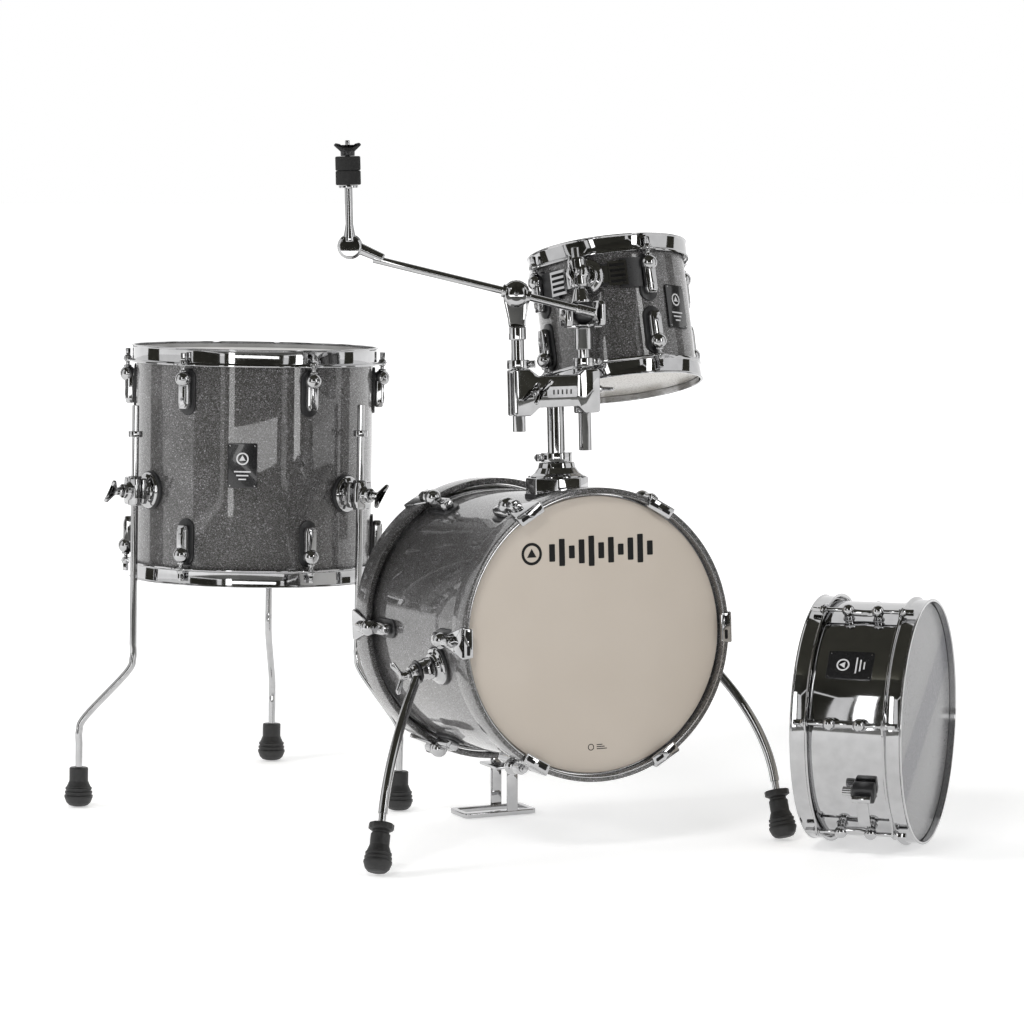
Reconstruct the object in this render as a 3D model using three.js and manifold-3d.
// A compact four-piece acoustic drum kit with a boom arm for a cymbal, set up for playing.
// Millimetres, +Z up. The kit is seen from the audience: +X is to the right, +Y runs back to the drummer.
// A drum's own frame has its shell's axis along Z and its shell's middle at the origin.
import * as THREE from "three";
import { mergeVertices } from "three/addons/utils/BufferGeometryUtils.js";
import Module from "manifold-3d";

const wasm = await Module();
wasm.setup();

const INCH = 25.4;
const GAP = 0.35; // between pieces that rest on each other
const ROUND = 32; // facets around a drum
const rad = THREE.MathUtils.degToRad;
const { sin, cos, PI } = Math;

// Drum sizes: the shells are a little smaller than their nominal inches, so that the heads float on them.
// lip is how far the hoop's flange stands off the shell, rodOut how far the tension rods do.
const NOMINAL = 0.965 * INCH;
const FLOOR_TOM = { radius: 6.5 * NOMINAL, depth: 12 * NOMINAL, wall: 6, lip: 11, rodOut: 12 };
const TOM = { radius: 4 * NOMINAL, depth: 6.7 * NOMINAL, wall: 6, lip: 9, rodOut: 11 };
const SNARE = { radius: 6.05 * NOMINAL, depth: 5 * NOMINAL, wall: 2, lip: 11, rodOut: 12 };
const BASS = { radius: 7 * NOMINAL, depth: 13 * NOMINAL, wall: 6, rodOut: 18 };

// Where the drums stand on the floor and how they lean, in degrees.
const BASS_AT = { x: 35, y: -306, z: 267, yaw: 25, noseUp: 3 };
const FLOOR_TOM_AT = { x: -356, y: -12, z: 448, leanBack: 2.2, leanRight: 1 };
const SNARE_AT = { x: 459, y: -392, yaw: 71.6, roll: -6 };
const MOUNT_Z = 41; // how far above the tom's middle its mount sits
const TOM_AT = { leanBack: 12.7, turn: -43, up: 10, out: 42 };

// Flanged metal hoop and drumhead, measured from the bearing edge outwards.
const HOOP = { top: 9.5, flange: -14, ear: 7.5, thickness: 3 };
const HEAD = { film: 1.2, step: 0.5, collarIn: 1, collarOut: 4, collarDrop: 8 };
// Wooden bass drum hoop.
const WOOD_HOOP = { inner: 4.8, outer: 12.5, front: 12, back: -25 };
// Single-ended lug: a ball that takes the rod, and a bar down the shell.
const LUG = { ball: 10.5, barWidth: 15, barLength: 40, drop: 31 };
const ROD = { shank: 2.6, head: 3.8, headTop: 4 };

// Floor tom legs: three brackets around the shell, each with the direction that its foot points in.
const LEGS = [
  { name: "left", at: -145, foot: 186, footOffset: 70 },
  { name: "right", at: -37, foot: -29, footOffset: 67 },
  { name: "rear", at: 86, foot: 88, footOffset: 73 },
];
const LEG = { radius: 4.75, above: 108, straight: 236, bendEnd: 318, end: 398 };
const LEG_BRACKET = { z: -35, base: 25, body: 16, out: 25, face: 45, bore: 6.3 };

// Bass drum spurs, in the drum's frame: how far round below the side, how far forward.
const SPUR = { below: 12, forward: 62, base: 25, hub: 13, hubStart: 12.5, hubEnd: 44, tube: 6, rod: 4.7 };
// Where each leg bends and where its tube ends: radial, downward and forward from the hub.
const SPUR_LEGS = {
  left: { bend: [100, 72, 72], end: [134, 139, 94] },
  right: { bend: [80, 66, 72], end: [98, 146, 94] },
};
const FOOT_BORE = 5.6;

// The post on the bass drum and what it carries, in the post's frame: Z up the post from the shell.
const POST = { radius: 11.1, bottom: -70, top: 150, forward: 62, bracketTop: 41, bore: 12.3 };
const LOCK = { height: 12, radius: 17 };
const HOLDER = { left: -51, right: 41, front: -19, back: 9, low: 101, high: 160, plateLow: 112, plateHigh: 150, bore: 9.6, barrel: 14 };
const CYMBAL_TUBE = { radius: 8.3, bottom: 81, collar: 198, neck: 214, pivot: 255, turn: -25 };
const BOOM = { radius: 5, left: 185, right: 102, rise: 15, y: -9, head: 17, lift: 8 };
const CYMBAL = { stem: 77, feltTop: 113, studTop: 133, felt: 16, stud: 3 };
const TOM_ARM = { radius: 8.3, bottom: 54, sleeve: 182, housingLow: 215, ball: 229, housingHigh: 241 };

const material = (color, roughness, metalness) => new THREE.MeshStandardMaterial({ color, roughness, metalness });
const CHROME = material(0xd8d8d8, 0.08, 1);
const SPARKLE = material(0x55565a, 0.3, 0.5);
const CREAM = material(0xcfc3b2, 0.6, 0);
const COATED = material(0xc9c9c9, 0.6, 0);
const RUBBER = material(0x1b1b1b, 0.8, 0);
const FELT = material(0x161616, 0.95, 0);
const PLASTIC = material(0x202020, 0.45, 0);
const WIRE = material(0xa8a8a8, 0.3, 1);

// ---- solids from three.js geometries ------------------------------------------------------------------

function toSolid(geometry) {
  const bare = geometry.index ? geometry.toNonIndexed() : geometry.clone();
  for (const name of Object.keys(bare.attributes)) {
    if (name !== "position") bare.deleteAttribute(name);
  }
  const merged = mergeVertices(bare, 1e-4);
  const all = merged.index.array;
  const triangles = [];
  for (let i = 0; i < all.length; i += 3) {
    const [a, b, c] = [all[i], all[i + 1], all[i + 2]];
    if (a !== b && b !== c && c !== a) triangles.push([a, b, c]);
  }
  const make = (list) =>
    new wasm.Manifold(
      new wasm.Mesh({
        numProp: 3,
        vertProperties: merged.attributes.position.array,
        triVerts: new Uint32Array(list.flat()),
      }),
    );
  const made = make(triangles);
  return made.volume() < 0 ? make(triangles.map(([a, b, c]) => [a, c, b])) : made;
}

function toGeometry(solid) {
  const made = solid.getMesh();
  const points = new Float32Array(made.numVert * 3);
  for (let i = 0; i < made.numVert; i++) {
    points.set(made.vertProperties.subarray(i * made.numProp, i * made.numProp + 3), i * 3);
  }
  return new THREE.BufferGeometry()
    .setAttribute("position", new THREE.BufferAttribute(points, 3))
    .setIndex(new THREE.BufferAttribute(made.triVerts.slice(), 1));
}

const asSolid = (piece) => (piece.isBufferGeometry ? toSolid(piece) : piece);
const join = (...pieces) => pieces.map(asSolid).reduce((a, b) => a.add(b));
const cut = (piece, ...tools) => tools.map(asSolid).reduce((a, b) => a.subtract(b), asSolid(piece));

// spin turns the piece about its own X axis, as a wing screw comes to rest at any angle.
function mesh(name, piece, finish, spin = 0) {
  const made = new THREE.Mesh(toGeometry(asSolid(piece).rotate([spin, 0, 0])), finish);
  made.name = name;
  return made;
}

function group(name, { at = [0, 0, 0], turn = [0, 0, 0] }, ...children) {
  const made = new THREE.Group();
  made.name = name;
  made.position.set(...at);
  made.rotation.set(...turn.map(rad));
  made.add(...children);
  return made;
}

// ---- shapes: all run along Z unless they say otherwise -------------------------------------------------

// A body turned about Z from [radius, height] points; the profile closes on itself or on the axis.
function turned(profile, facets = ROUND) {
  const points = profile.map(([r, z]) => new THREE.Vector2(r, z));
  if (profile[0][0] > 0) points.push(points[0].clone());
  return new THREE.LatheGeometry(points, facets).rotateX(PI / 2);
}

const rod = (radius, from, to, sides = 12, endRadius = radius) =>
  new THREE.CylinderGeometry(endRadius, radius, to - from, sides).rotateX(PI / 2).translate(0, 0, (from + to) / 2);

// A rod that stands out from a shell along X.
const stud = (radius, from, to, sides = 12, endRadius = radius) =>
  rod(radius, from, to, sides, endRadius).rotateY(PI / 2);

const block = ([x0, x1], [y0, y1], [z0, z1]) =>
  new THREE.BoxGeometry(x1 - x0, y1 - y0, z1 - z0).translate((x0 + x1) / 2, (y0 + y1) / 2, (z0 + z1) / 2);

function plate(outline, thickness) {
  const shape = new THREE.Shape(outline.map(([x, y]) => new THREE.Vector2(x, y)));
  return new THREE.ExtrudeGeometry(shape, { depth: thickness, bevelEnabled: false });
}

function bent(curve, radius, steps, sides = 8) {
  const section = Array.from({ length: sides }, (_, i) => {
    const angle = (2 * PI * i) / sides;
    return new THREE.Vector2(radius * cos(angle), radius * sin(angle));
  });
  return new THREE.ExtrudeGeometry(new THREE.Shape(section), { steps, extrudePath: curve, bevelEnabled: false });
}

const around = (count, first) => Array.from({ length: count }, (_, i) => rad(first + (360 * i) / count));

// The wing of a screw that is turned by hand, standing out along X from its hub's foot at 0.
function wing(span, height, hub = 6) {
  const outline = [
    [0, -hub],
    [height * 0.35, -hub],
    [height, -span / 2],
    [height, -span / 2 + 7],
    [height * 0.6, 0],
    [height, span / 2 - 7],
    [height, span / 2],
    [height * 0.35, hub],
    [0, hub],
  ];
  return join(plate(outline, 5).translate(0, 0, -2.5), stud(hub, 0, height * 0.5, 8));
}

// ---- drums ---------------------------------------------------------------------------------------------

// One lug on the outside of a shell at angle 0, its ball at ballZ and its bar running inwards from there.
function lug(drum, ballZ) {
  const inwards = -Math.sign(ballZ);
  const foot = drum.radius - 3;
  const zs = [ballZ, ballZ + inwards * LUG.barLength].sort((a, b) => a - b);
  return join(
    stud(LUG.ball, foot, drum.radius + drum.rodOut + 7, 8).translate(0, 0, ballZ),
    block([foot, drum.radius + drum.rodOut + 1], [-LUG.barWidth / 2, LUG.barWidth / 2], zs),
  );
}

// The snare drum's bridge lug: two balls on one bar.
function bridgeLug(drum) {
  const foot = drum.radius - 1;
  const balls = [-19, 19].map((z) => stud(8, foot, drum.radius + drum.rodOut + 7, 8).translate(0, 0, z));
  return join(...balls, block([foot, drum.radius + 10], [-4, 4], [-19, 19]));
}

function shellTube({ radius, depth, wall }) {
  const half = depth / 2;
  return turned([
    [radius - wall, -half],
    [radius, -half],
    [radius, half],
    [radius - wall, half],
  ]);
}

const lugRow = (drum, angles, ballZ) => angles.map((angle) => lug(drum, ballZ).rotate([0, 0, (angle * 180) / PI]));

// A drumhead: the film over the bearing edge, and the collar with its flesh hoop outside the shell, a step lower.
function head({ radius, depth }, side) {
  const edge = depth / 2;
  return turned(
    [
      [0, edge + GAP],
      [radius + HEAD.collarIn, edge + GAP],
      [radius + HEAD.collarIn, edge - HEAD.collarDrop],
      [radius + HEAD.collarOut, edge - HEAD.collarDrop],
      [radius + HEAD.collarOut, edge + GAP + HEAD.film - HEAD.step],
      [radius + 0.8, edge + GAP + HEAD.film - HEAD.step],
      [radius - 0.5, edge + GAP + HEAD.film],
      [0, edge + GAP + HEAD.film],
    ].map(([r, z]) => [r, side * z]),
  );
}

// A tension rod with its washer and square head, along Z at radius, through a hoop at z = ear.
function tensionRod(radius, ear, tip, side) {
  const along = (a, b) => (side > 0 ? [a, b] : [-b, -a]);
  return join(
    rod(ROD.shank, ...along(tip, ear + 1), 6).translate(radius, 0, 0),
    rod(ROD.head, ...along(ear, ear - HOOP.flange + ROD.headTop), 4).translate(radius, 0, 0),
  );
}

// A flanged hoop with its tension rods, which end just above the lugs.
function metalHoop(drum, side, angles, lugTop) {
  const { radius: r, lip } = drum;
  const e = drum.depth / 2;
  const seat = e + GAP + HEAD.film - HEAD.step + GAP;
  const ring = turned(
    [
      [r + 1, seat],
      [r + 1, e + HOOP.top],
      [r + 6.5, e + HOOP.top],
      [r + lip, e + HOOP.flange],
      [r + 6, e + HOOP.flange],
      [r + 5, seat],
    ].map(([x, z]) => [x, side * z]),
  );
  const earAt = e + HOOP.flange;
  const ear = rod(HOOP.ear, ...(side > 0 ? [earAt, earAt + 3] : [-earAt - 3, -earAt]), 6);
  const rodSolid = tensionRod(r + drum.rodOut, earAt, lugTop, side);
  const stations = angles.map((angle) =>
    join(ear.clone().translate(r + drum.rodOut - 1, 0, 0), rodSolid).rotate([0, 0, (angle * 180) / PI]),
  );
  return join(ring, ...stations);
}

// ---- bass drum -----------------------------------------------------------------------------------------

const BASS_EDGE = BASS.depth / 2;
const BASS_BALL = BASS_EDGE - 46;
const shellClearance = (drum) => rod(drum.radius + GAP, -drum.depth, drum.depth, 96);

// A claw over the hoop's edge with its rod, which ends just above the lug.
function claw(side) {
  const r = BASS.radius;
  const face = BASS_EDGE + WOOD_HOOP.front;
  const flat = (a, b) => (side > 0 ? [a, b] : [-b, -a]);
  const outline = [
    [-20, face + 3],
    [20, face + 3],
    [7, face - 44],
    [-7, face - 44],
  ].map(([y, z]) => [y, side * z]);
  const back = plate(outline, 4).rotateX(PI / 2).rotateZ(PI / 2).translate(r + WOOD_HOOP.outer - 1, 0, 0);
  return join(
    block([r + WOOD_HOOP.inner + 3, r + WOOD_HOOP.outer + 1], [-20, 20], flat(face - 1, face + 3)),
    back,
    rod(6, ...flat(face - 44, face - 28), 8).translate(r + BASS.rodOut, 0, 0),
    rod(ROD.shank, ...flat(BASS_BALL + LUG.ball + GAP, face - 40), 6).translate(r + BASS.rodOut, 0, 0),
  );
}

function woodHoop(side) {
  const ring = turned(
    [
      [BASS.radius + WOOD_HOOP.inner, BASS_EDGE + WOOD_HOOP.back],
      [BASS.radius + WOOD_HOOP.outer, BASS_EDGE + WOOD_HOOP.back],
      [BASS.radius + WOOD_HOOP.outer, BASS_EDGE + WOOD_HOOP.front],
      [BASS.radius + WOOD_HOOP.inner, BASS_EDGE + WOOD_HOOP.front],
    ].map(([r, z]) => [r, side * z]),
  );
  return join(ring, ...around(6, 0).map((angle) => claw(side).rotate([0, 0, (angle * 180) / PI])));
}

function bassShell() {
  const angles = around(6, 0);
  const postHole = rod(14, 0, BASS.radius * 1.2, 12).rotateX(-PI / 2).translate(0, 0, POST.forward);
  return cut(
    join(shellTube(BASS), ...lugRow(BASS, angles, BASS_BALL), ...lugRow(BASS, angles, -BASS_BALL)),
    postHole,
  );
}

// The casting on top of the shell that takes the post, with the bore running up the post.
function postBracket() {
  const r = BASS.radius;
  const solid = join(
    rod(38, r - 14, r + 22, 12),
    rod(34, r + 21, r + 36, 12, 22),
    rod(22, r + 35, r + POST.bracketTop, 12),
  );
  const upright = (piece) => piece.rotate([-90, 0, 0]).translate([0, 0, POST.forward]);
  return cut(upright(cut(solid, rod(POST.bore, 0, 2 * r, 16))), shellClearance(BASS));
}

// A spur's base on the shell at angle 0, standing out along X.
function spurBracket() {
  const r = BASS.radius;
  const base = join(stud(SPUR.base, r - 10, r + 6, 14), stud(18, r + 5, r + SPUR.hubStart - GAP, 10));
  return cut(base.translate([0, 0, SPUR.forward]), shellClearance(BASS));
}

// The spur's hub and curved leg from its pivot; down is +1 or -1, the side of Y that faces the floor.
function spurCurve(name, down) {
  const point = ([out, below, forward]) => new THREE.Vector3(out, down * below, forward);
  const { bend, end } = SPUR_LEGS[name];
  return new THREE.QuadraticBezierCurve3(point([8, 0, 0]), point(bend), point(end));
}

function spurLeg(curve) {
  const end = curve.getPoint(1);
  const tip = end.clone().addScaledVector(curve.getTangent(1), 22);
  return join(
    stud(SPUR.hub, -9, 9, 10),
    stud(11, 8, SPUR.hubEnd - 22, 10),
    bent(curve, SPUR.tube, 14),
    bent(new THREE.LineCurve3(curve.getPoint(0.96), tip), SPUR.rod, 1),
  );
}

// A rubber foot with its tread at 0 and its bore down from the top.
function rubberFoot(name, { neck, top, collar }) {
  const outline = [
    [0, 0],
    [8, 0],
    [14.5, 4],
    [18.7, 11],
    [19.2, 18],
    [17, 26],
    [neck, 33],
  ];
  const upper = collar
    ? [
        [neck, top - 12],
        [11, top - 11],
        [11, top - 7],
        [16, top - 6],
        [16, top],
      ]
    : [[neck - 1, top]];
  const bore = [
    [FOOT_BORE, top],
    [FOOT_BORE, top - 26],
    [0, top - 26],
  ];
  return mesh(name, turned([...outline, ...upper, ...bore], 12), RUBBER);
}

function spur(name, down) {
  const curve = spurCurve(name, down);
  const towardsDrum = curve.getTangent(1).negate();
  const foot = rubberFoot(`spur_foot_${name}`, { neck: 13, top: 62, collar: true });
  foot.quaternion.setFromUnitVectors(new THREE.Vector3(0, 0, 1), towardsDrum);
  foot.position.copy(curve.getPoint(1)).addScaledVector(towardsDrum, -60);
  const angle = down > 0 ? 180 + SPUR.below : -SPUR.below;
  const out = BASS.radius + SPUR.hubStart + 9;
  return group(
    `spur_${name}`,
    { at: [out * cos(rad(angle)), out * sin(rad(angle)), SPUR.forward], turn: [0, 0, angle] },
    mesh(`spur_leg_${name}`, spurLeg(curve), CHROME),
    foot,
    group(
      `spur_wing_${name}`,
      { at: [SPUR.hubEnd - 22 + GAP, 0, 0] },
      mesh(`spur_wing_screw_${name}`, wing(44, 22), CHROME),
    ),
  );
}

// The stand that lifts the pedal side off the floor: a looped base and two bars that straddle the hoop.
function liftStand() {
  const mid = BASS_EDGE - 17;
  const frontBar = [mid - 27.5, mid - 24.5];
  const rearBar = [mid + 23.5, mid + 26.5];
  const base = cut(
    block([-52, 52], [frontBar[0], rearBar[1]], [0, 7]),
    block([-44, 44], [frontBar[0] + 8, rearBar[1] - 8], [-1, 8]),
  );
  return join(
    base,
    block([8, 24], frontBar, [1, 78]),
    block([8, 24], rearBar, [1, 78]),
    block([-8, 24], [frontBar[0], rearBar[1]], [62, 66]),
  );
}

// ---- post, cymbal arm and tom arm ----------------------------------------------------------------------

function memoryLock(bore, radius) {
  const ring = join(
    rod(radius, GAP, LOCK.height, 12),
    block([radius - 6, radius + 9], [-5, 5], [GAP + 1, LOCK.height - 1]),
  );
  return cut(ring, rod(bore, -1, LOCK.height + 1, 12));
}

// The block on the post's top that clamps the two tubes.
function holderBlock() {
  const { left, right, front, back, low, high, plateLow, plateHigh, bore, barrel } = HOLDER;
  const solid = join(
    block([left - barrel, right + barrel], [front, back], [plateLow, plateHigh]),
    rod(18, plateLow, plateHigh, 16),
    ...[left, right].map((at) => rod(barrel, low, high, 14).translate(at, 0, 0)),
    ...[left, right].map((at) => block([at - barrel, at + barrel], [front, -2], [low + 1, high - 1])),
  );
  return cut(
    solid,
    rod(POST.radius + 0.6, plateLow - 1, plateHigh + 1, 16),
    ...[left, right].map((at) => rod(bore, low - 1, high + 1, 14).translate(at, 0, 0)),
  );
}

// The tube that rises from the holder, and the cheek that its ratchet turns on.
function cymbalTube() {
  const { radius, bottom, collar, neck, pivot } = CYMBAL_TUBE;
  const cheek = plate(
    [
      [-8, neck - pivot - 2],
      [8, neck - pivot - 2],
      [16.5, -4],
      [12, 12],
      [0, 17],
      [-12, 12],
      [-16.5, -4],
    ],
    10,
  );
  return join(
    rod(radius, bottom - pivot, collar - pivot, 12),
    rod(10.5, collar - pivot - 1, neck - pivot, 12),
    cheek.rotateX(PI / 2).translate(0, 11, 0),
  );
}

const boomBore = (radius) => rod(radius, -40, 40, 12).rotateY(PI / 2).translate(0, BOOM.y, 0);
const facingFront = (piece) => piece.rotateX(PI / 2); // a rod along Z now runs towards -Y

function boomClamp() {
  return cut(facingFront(rod(BOOM.head, -1 + GAP * 2, 19, 16)), boomBore(BOOM.radius + 1));
}

// The boom: its rod along X, the neck and the cheek for the cymbal's ratchet at the left end.
function boomRod() {
  const along = (radius, from, to, sides, end) => rod(radius, from, to, sides, end).rotateY(PI / 2);
  const { left, right, y, lift } = BOOM;
  const neck = along(7.5, -left - 28, -left + 14, 12, 6.2).rotateY(rad(10)).translate(-6, y, -26.3);
  const disc = (radius, from, to) => facingFront(rod(radius, from, to, 14)).translate(-left - 32, 0, lift);
  return cut(
    join(
      along(BOOM.radius, -left, right, 12).translate(0, y, 0),
      along(6.6, right - 24, right, 12).translate(0, y, 0),
      neck,
      disc(15, -y - 12, -y - 1),
    ),
    disc(17.5, -y - 0.9, 40),
  );
}

// The upper half of the cymbal's ratchet: a disc, a tapered neck and the stud that the cymbal sits on.
function cymbalTilter() {
  return join(
    facingFront(rod(16, GAP, 13, 14)),
    rod(6, 8, 26, 10, 5).translate(0, -6.5, 0),
    rod(5, 25, CYMBAL.stem, 10).translate(0, -6.5, 0),
    rod(12.5, CYMBAL.stem - 4, CYMBAL.stem - GAP, 12).translate(0, -6.5, 0),
    rod(CYMBAL.stud, CYMBAL.stem - 1, CYMBAL.studTop, 8).translate(0, -6.5, 0),
  );
}

function tomArm() {
  const { radius, bottom, sleeve, housingLow, ball, housingHigh } = TOM_ARM;
  return cut(
    join(
      rod(radius, bottom - ball, housingLow - ball + 1, 12),
      rod(11.5, sleeve - ball, housingLow - ball + 1, 12),
      rod(18, housingLow - ball, housingHigh - ball, 14),
      block([-26, 26], [-9, 9], [housingLow - ball + 2, housingHigh - ball - 2]),
    ),
    new THREE.SphereGeometry(13.6, 14, 10).rotateX(PI / 2),
    rod(13.6, 0, 20, 14),
  );
}

// The ball in the arm's housing and the rod that the tom hangs on.
const ballRod = () =>
  join(new THREE.SphereGeometry(12.4, 14, 10).rotateX(PI / 2), rod(10.5, 5, 20, 12, 6), rod(5, 18, 84, 12));

// The plate that carries the tom by its upper lugs, with the clamp for the rod, in the tom's frame.
function tomMount() {
  const { radius: r } = TOM;
  const arc = new THREE.Shape();
  arc.absarc(0, 0, r + 8.5, rad(-127), rad(-53), false);
  arc.absarc(0, 0, r + 6, rad(-53), rad(-127), true);
  const arms = new THREE.ExtrudeGeometry(arc, { depth: 34, bevelEnabled: false, curveSegments: 10 });
  const towardsFront = (piece) => piece.rotateZ(-PI / 2);
  return cut(
    join(
      arms.translate(0, 0, MOUNT_Z - 17),
      towardsFront(stud(24, r + 7, r + 22, 16)).translate(0, 0, MOUNT_Z),
      towardsFront(stud(13, r + 21, r + TOM_AT.out + 10, 12)).translate(0, 0, MOUNT_Z),
    ),
    rod(6, -20, 90, 12).translate(0, -r - TOM_AT.out, 0),
  );
}

// ---- floor tom -----------------------------------------------------------------------------------------

function legBracket(drum) {
  const { z, base, body, face } = LEG_BRACKET;
  return join(
    stud(base, drum.radius - 3, drum.radius + 7, 12).translate(0, 0, z),
    stud(body, drum.radius + 6, drum.radius + face, 12).translate(0, 0, z),
  );
}

function floorTomShell() {
  const edge = FLOOR_TOM.depth / 2;
  const angles = around(6, 0);
  const bore = rod(LEG_BRACKET.bore, -80, 20, 12).translate(FLOOR_TOM.radius + LEG_BRACKET.out, 0, 0);
  return cut(
    join(
      shellTube(FLOOR_TOM),
      ...lugRow(FLOOR_TOM, angles, edge - LUG.drop),
      ...lugRow(FLOOR_TOM, angles, LUG.drop - edge),
      ...LEGS.map(({ at }) => legBracket(FLOOR_TOM).rotate([0, 0, at])),
    ),
    ...LEGS.map(({ at }) => bore.clone().rotateZ(rad(at))),
  );
}

// A leg, from the middle of its bracket's bore: straight, bent outwards along X, and straight down again.
function floorTomLeg(offset) {
  const { radius, above, straight, bendEnd, end } = LEG;
  const knees = [
    [0, straight - 26],
    [0, straight - 8],
    [offset * 0.12, straight + 12],
    [offset * 0.88, bendEnd - 12],
    [offset, bendEnd + 8],
    [offset, bendEnd + 26],
  ].map(([x, z]) => new THREE.Vector3(x, 0, -z));
  return join(
    rod(radius, -straight + 20, above, 8),
    bent(new THREE.CatmullRomCurve3(knees), radius, 12),
    rod(radius, -end, -bendEnd - 22, 8).translate(offset, 0, 0),
  );
}

function leg({ name, at, foot, footOffset }) {
  const out = FLOOR_TOM.radius + LEG_BRACKET.out;
  const rubber = rubberFoot(`floor_tom_foot_${name}`, { neck: 12.5, top: 52, collar: false });
  rubber.position.set(footOffset, 0, -LEG.end - 28);
  return group(
    `floor_tom_leg_${name}`,
    { at: [out * cos(rad(at)), out * sin(rad(at)), LEG_BRACKET.z], turn: [0, 0, foot] },
    mesh(`floor_tom_leg_rod_${name}`, floorTomLeg(footOffset), CHROME),
    rubber,
  );
}

function legWing({ name, at }) {
  const out = FLOOR_TOM.radius + LEG_BRACKET.face + GAP;
  return group(
    `floor_tom_wing_${name}`,
    { at: [out * cos(rad(at)), out * sin(rad(at)), LEG_BRACKET.z], turn: [0, 0, at] },
    mesh(`floor_tom_wing_screw_${name}`, wing(40, 20), CHROME, 50),
  );
}

// ---- snare drum ----------------------------------------------------------------------------------------

const SNARE_EDGE = SNARE.depth / 2;
const STRAINER = { angle: 206, z: 22, out: 20 };

function snareShell() {
  const butt = block([SNARE.radius - 1, SNARE.radius + 12], [-15, 15], [-24, 6]).rotateZ(rad(STRAINER.angle - 180));
  return join(
    shellTube(SNARE),
    ...around(6, SNARE_AT.roll).map((angle) => bridgeLug(SNARE).rotate([0, 0, (angle * 180) / PI])),
    butt,
  );
}

// The throw-off on the shell at angle 0, its lever's hinge running along Z on the outer face.
const strainerBody = () =>
  cut(
    block([SNARE.radius - 4, SNARE.radius + STRAINER.out], [-13, 13], [STRAINER.z - 15, STRAINER.z + 15]),
    shellClearance(SNARE),
  );

const strainerLever = () =>
  join(rod(4.5, -12, 12, 8), block([-2, 1.5], [0, 40], [-8, 8]));

// A band of wires under the snare-side head, held by a plate at each end.
function snareWires() {
  const low = -(SNARE_EDGE + 5.2);
  const high = -(SNARE_EDGE + GAP + HEAD.film + 0.6);
  const half = SNARE.radius - 22;
  const wires = Array.from({ length: 6 }, (_, i) => block([-half, half], [i * 8 - 21.5, i * 8 - 18.5], [low + 1, high]));
  return join(
    ...wires,
    ...[-1, 1].map((end) => block([end * half - 9, end * half + 9], [-24, 24], [low, high])),
  );
}

function snare() {
  const angles = around(6, SNARE_AT.roll);
  const rodEnd = 19 + 8 + GAP;
  const lever = [SNARE.radius + STRAINER.out + 5, 0, STRAINER.z];
  const turn = [0, 0, STRAINER.angle];
  return group(
    "snare",
    { at: [SNARE_AT.x, SNARE_AT.y, SNARE.radius + SNARE.lip] },
    group(
      "snare_yaw",
      { turn: [0, 0, SNARE_AT.yaw] },
      group(
        "snare_axis",
        { turn: [90, 0, 0] },
        mesh("snare_shell", snareShell(), CHROME),
        mesh("snare_batter_hoop", metalHoop(SNARE, 1, angles, rodEnd), CHROME),
        mesh("snare_bottom_hoop", metalHoop(SNARE, -1, angles, rodEnd), CHROME),
        mesh("snare_batter_head", head(SNARE, 1), COATED),
        mesh("snare_bottom_head", head(SNARE, -1), COATED),
        group("snare_wires_body", { turn }, mesh("snare_wires", snareWires(), WIRE)),
        group(
          "strainer_fixed",
          { turn },
          mesh("strainer_body", strainerBody(), PLASTIC),
          group("strainer_lever_body", { at: lever }, mesh("strainer_lever", strainerLever(), CHROME)),
          group(
            "strainer_knob_body",
            { at: [SNARE.radius + 11, 0, STRAINER.z - 15 - GAP] },
            mesh("strainer_knob", rod(7, -11, 0, 10), CHROME),
          ),
        ),
      ),
    ),
  );
}

// ---- assemblies ----------------------------------------------------------------------------------------

function tom() {
  const angles = around(4, 45);
  const edge = TOM.depth / 2;
  const shell = join(
    shellTube(TOM),
    ...lugRow(TOM, angles, edge - LUG.drop),
    ...lugRow(TOM, angles, LUG.drop - edge),
  );
  const rodEnd = edge - LUG.drop + LUG.ball + GAP;
  return group(
    "tom",
    { at: [0, TOM.radius + TOM_AT.out, TOM_AT.up] },
    mesh("tom_shell", shell, SPARKLE),
    mesh("tom_batter_hoop", metalHoop(TOM, 1, angles, rodEnd), CHROME),
    mesh("tom_bottom_hoop", metalHoop(TOM, -1, angles, rodEnd), CHROME),
    mesh("tom_batter_head", head(TOM, 1), COATED),
    mesh("tom_bottom_head", head(TOM, -1), COATED),
    mesh("tom_mount_plate", tomMount(), CHROME),
    group(
      "tom_wing",
      { at: [0, -TOM.radius - TOM_AT.out - 10 - GAP, MOUNT_Z], turn: [0, 0, -90] },
      mesh("tom_mount_wing_screw", wing(38, 18), CHROME, 90),
    ),
  );
}

function tomSide() {
  return group(
    "tom_arm_swivel",
    { at: [HOLDER.right, 0, HOLDER.high] },
    mesh("tom_memory_lock", memoryLock(HOLDER.bore, LOCK.radius - 3), CHROME),
    group(
      "tom_arm",
      { at: [0, 0, TOM_ARM.ball - HOLDER.high] },
      mesh("tom_arm_tube", tomArm(), CHROME),
      group(
        "tom_ball",
        { turn: [-TOM_AT.leanBack, 0, TOM_AT.turn] },
        mesh("tom_ball_rod", ballRod(), CHROME),
        tom(),
      ),
    ),
  );
}

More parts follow.
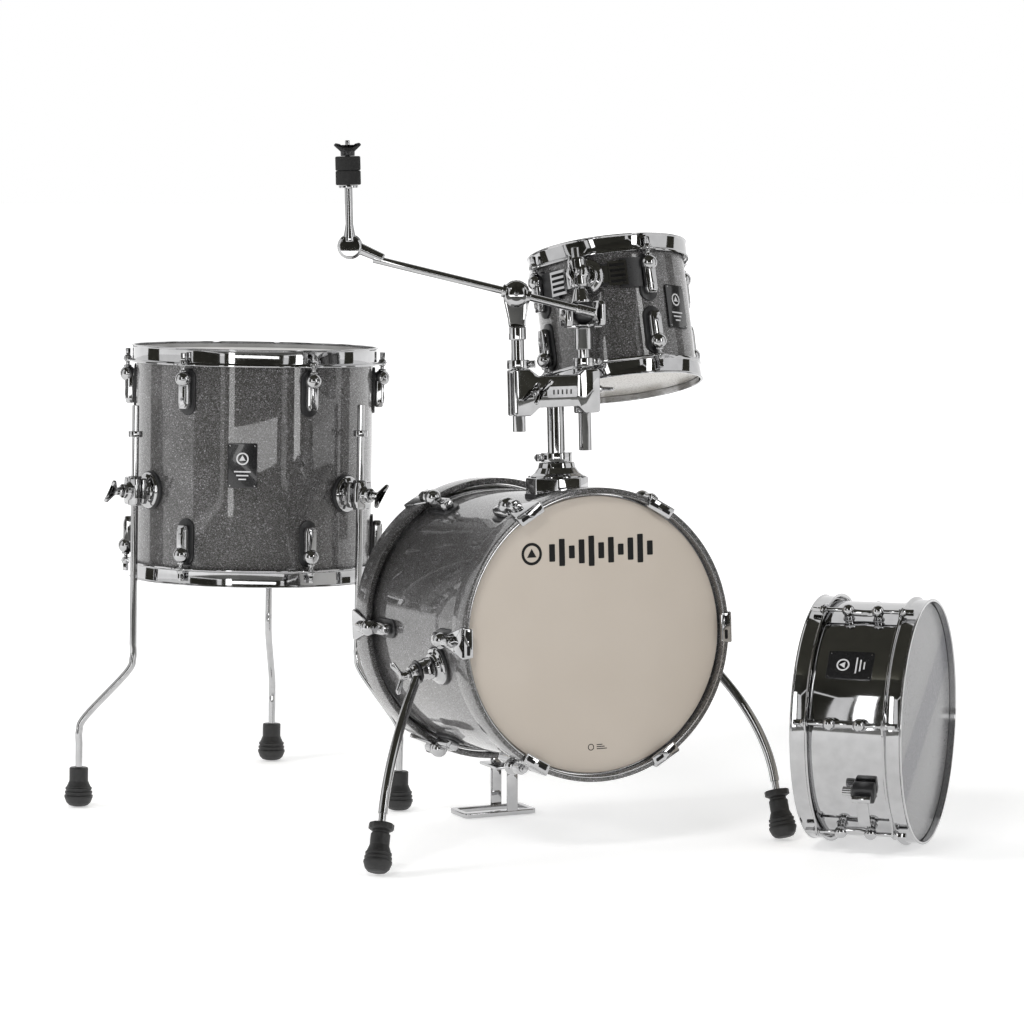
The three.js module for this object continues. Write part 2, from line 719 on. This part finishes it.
function cymbalSide() {
  const endX = -BOOM.left - 32;
  return group(
    "cymbal_swivel",
    { at: [HOLDER.left, 0, HOLDER.high], turn: [0, 0, CYMBAL_TUBE.turn] },
    mesh("cymbal_memory_lock", memoryLock(HOLDER.bore, LOCK.radius - 3), CHROME),
    group(
      "cymbal_tube",
      { at: [0, 0, CYMBAL_TUBE.pivot - HOLDER.high] },
      mesh("cymbal_tube_and_ratchet", cymbalTube(), CHROME),
      group(
        "boom_clamp",
        { turn: [0, BOOM.rise, 0] },
        mesh("boom_clamp_head", boomClamp(), CHROME),
        group(
          "boom",
          {},
          mesh("boom_rod", boomRod(), CHROME),
          group(
            "cymbal_tilter_body",
            { at: [endX, BOOM.y + 1, BOOM.lift], turn: [0, -BOOM.rise, 0] },
            mesh("cymbal_tilter", cymbalTilter(), CHROME),
            mesh("cymbal_felts", cymbalFelts(), FELT),
            group(
              "cymbal_nut",
              { at: [0, -6.5, CYMBAL.feltTop] },
              mesh("cymbal_wing_nut", cymbalWingNut(), PLASTIC),
            ),
          ),
        ),
      ),
    ),
  );
}

const cymbalFelts = () =>
  cut(rod(CYMBAL.felt, CYMBAL.stem, CYMBAL.feltTop, 14), rod(CYMBAL.stud + 1, 0, 200, 8)).translate([0, -6.5, 0]);

const NUT_GAP = 2.2; // the nut stands clear of the felts, which a cymbal lies between

function cymbalWingNut() {
  const outline = [
    [0, -8],
    [7, -9],
    [15, -18],
    [17, -14],
    [12, -5],
    [12, 5],
    [17, 14],
    [15, 18],
    [7, 9],
    [0, 8],
  ];
  const wings = plate(outline, 6).translate(0, 0, -3).rotateY(-PI / 2).rotateZ(PI / 2).translate(0, 0, NUT_GAP);
  return cut(join(wings, rod(9, NUT_GAP, 10, 10)), rod(CYMBAL.stud + 0.9, -1, 30, 8));
}

function postAndHolder() {
  const { left, right, front, plateLow, plateHigh, barrel } = HOLDER;
  const mid = (plateLow + plateHigh) / 2;
  return group(
    "post_swivel",
    { at: [0, BASS.radius, POST.forward], turn: [-90, 0, 0] },
    group("post_lock", { at: [0, 0, POST.bracketTop], turn: [0, 0, 180] }, mesh("post_memory_lock", memoryLock(POST.bore, 20), CHROME)),
    group(
      "post",
      {},
      mesh("post_tube", rod(POST.radius, POST.bottom, POST.top, 16), CHROME),
      mesh("holder_block", holderBlock(), CHROME),
      group(
        "holder_wing_left",
        { at: [left + 18, front - GAP, mid], turn: [0, 0, -90] },
        mesh("holder_wing_screw_left", wing(40, 20), CHROME, 50),
      ),
      group(
        "holder_wing_right",
        { at: [right + barrel + GAP, 0, mid] },
        mesh("holder_wing_screw_right", wing(40, 20), CHROME),
      ),
      cymbalSide(),
      tomSide(),
    ),
  );
}

function bassDrum() {
  const spurAt = (angle) => [0, 0, angle];
  return group(
    "bass",
    { at: [BASS_AT.x, BASS_AT.y, 0], turn: [0, 0, BASS_AT.yaw] },
    group("lift_stand_body", {}, mesh("lift_stand", liftStand(), CHROME)),
    group(
      "bass_axis",
      { at: [0, 0, BASS_AT.z], turn: [90 - BASS_AT.noseUp, 0, 0] },
      mesh("bass_shell", bassShell(), SPARKLE),
      mesh("bass_front_hoop", woodHoop(1), SPARKLE),
      mesh("bass_rear_hoop", woodHoop(-1), SPARKLE),
      mesh("bass_front_head", head(BASS, 1), CREAM),
      mesh("bass_rear_head", head(BASS, -1), COATED),
      mesh("post_bracket", postBracket(), CHROME),
      group("", { turn: spurAt(180 + SPUR.below) }, mesh("spur_bracket_left", spurBracket(), CHROME)),
      group("", { turn: spurAt(-SPUR.below) }, mesh("spur_bracket_right", spurBracket(), CHROME)),
      spur("left", 1),
      spur("right", -1),
      postAndHolder(),
    ),
  );
}

function floorTom() {
  const angles = around(6, 0);
  const edge = FLOOR_TOM.depth / 2;
  const rodEnd = edge - LUG.drop + LUG.ball + GAP;
  return group(
    "floor_tom_lean",
    { at: [FLOOR_TOM_AT.x, FLOOR_TOM_AT.y, 0], turn: [-FLOOR_TOM_AT.leanBack, FLOOR_TOM_AT.leanRight, 0] },
    group(
      "floor_tom",
      { at: [0, 0, FLOOR_TOM_AT.z] },
      mesh("floor_tom_shell", floorTomShell(), SPARKLE),
      mesh("floor_tom_batter_hoop", metalHoop(FLOOR_TOM, 1, angles, rodEnd), CHROME),
      mesh("floor_tom_bottom_hoop", metalHoop(FLOOR_TOM, -1, angles, rodEnd), CHROME),
      mesh("floor_tom_batter_head", head(FLOOR_TOM, 1), COATED),
      mesh("floor_tom_bottom_head", head(FLOOR_TOM, -1), COATED),
      ...LEGS.map(leg),
      ...LEGS.map(legWing),
    ),
  );
}

// Moves a piece along its parent's direction until its lowest point is on the floor.
function settle(piece, foot, direction) {
  kit.updateMatrixWorld(true);
  const lowest = new THREE.Box3().setFromObject(foot, true).min.z;
  const world = direction.clone().transformDirection(piece.parent.matrixWorld);
  piece.position.addScaledVector(direction, -lowest / world.z);
}

const kit = group("kit", {}, bassDrum(), floorTom(), snare());
const find = (name) => kit.getObjectByName(name);
for (const { name } of LEGS) {
  settle(find(`floor_tom_leg_${name}`), find(`floor_tom_foot_${name}`), new THREE.Vector3(0, 0, 1));
}
for (const name of ["left", "right"]) {
  const foot = find(`spur_foot_${name}`);
  settle(foot, foot, new THREE.Vector3(0, 0, 1).applyQuaternion(foot.quaternion));
}

// The origin is on the floor, under the middle of the kit.
kit.updateMatrixWorld(true);
const middle = new THREE.Box3().setFromObject(kit, true).getCenter(new THREE.Vector3());
kit.position.set(-middle.x, -middle.y, 0);
kit.updateMatrixWorld(true);

export default kit;
